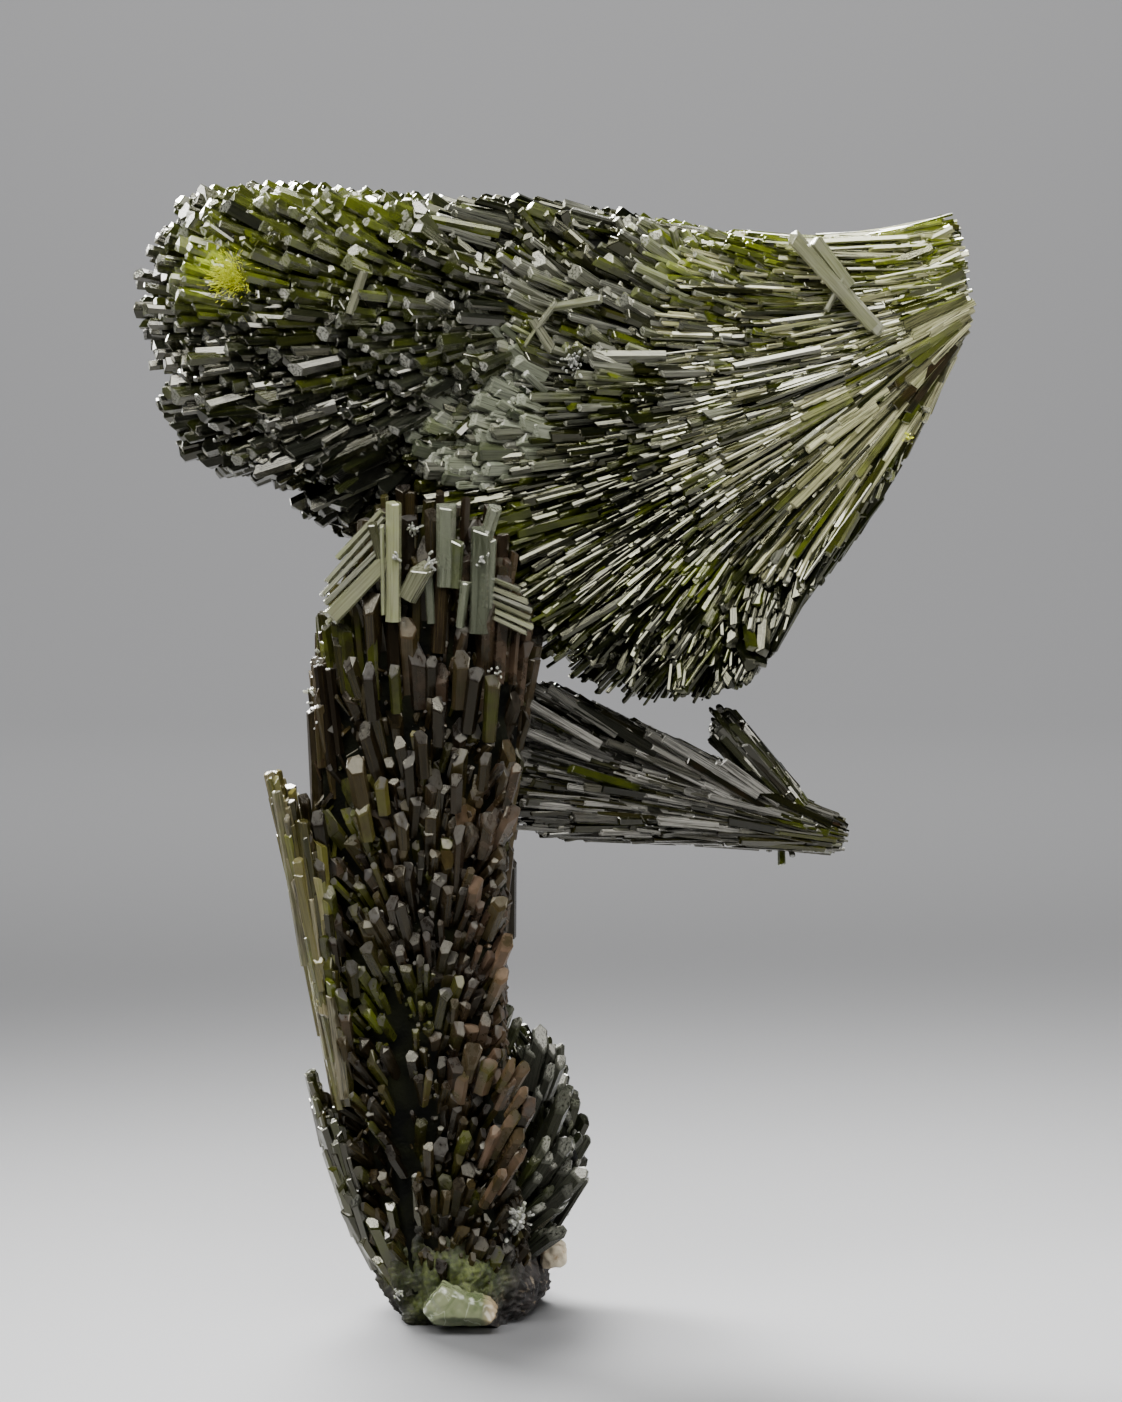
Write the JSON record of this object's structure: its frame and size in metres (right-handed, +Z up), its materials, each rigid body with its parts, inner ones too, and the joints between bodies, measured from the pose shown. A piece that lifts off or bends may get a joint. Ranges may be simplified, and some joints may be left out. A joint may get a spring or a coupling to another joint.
{
  "type": "epidote crystal cluster",
  "caption": "Branching cluster of dark olive-green epidote prisms: a thick upright spray on a flat broken foot, a wide fan and head across the top, a side arm.",
  "frame": {"origin": "middle of the flat foot that the cluster stands on, at floor level", "axes": "+X to the viewer's right along the crossbar, +Y to the back, +Z up along the upright spray"},
  "size_m": [0.0825, 0.0259, 0.1136],
  "materials": {
    "epidote_olive": "glossy flat crystal faces, olive yellow-green with silvery long facets",
    "epidote_dark": "glossy flat crystal faces, blackish green",
    "epidote_brown": "glossy flat crystal faces, dark brown-green with a dusty iron stain",
    "epidote_pale": "satin pale grey-green crystal faces",
    "epidote_glassy": "glassy, slightly see-through pale green",
    "cream_mineral": "matt cream crust"
  },
  "bodies": {
    "root": {"fan_spray": "epidote_olive", "head_spray": "epidote_dark", "upright_spray": "epidote_brown", "arm_spray": "epidote_dark", "side_blade": "epidote_olive", "foot_lobe": "epidote_dark", "crown_left": "epidote_pale", "crown_middle": "epidote_glassy", "crown_right": "epidote_glassy", "crossed_prisms": "epidote_pale", "twin_prisms": "epidote_pale", "stray_prism": "epidote_pale", "foot_chunk": "epidote_glassy", "cream_nodule": "cream_mineral"}
  },
  "joints": []
}
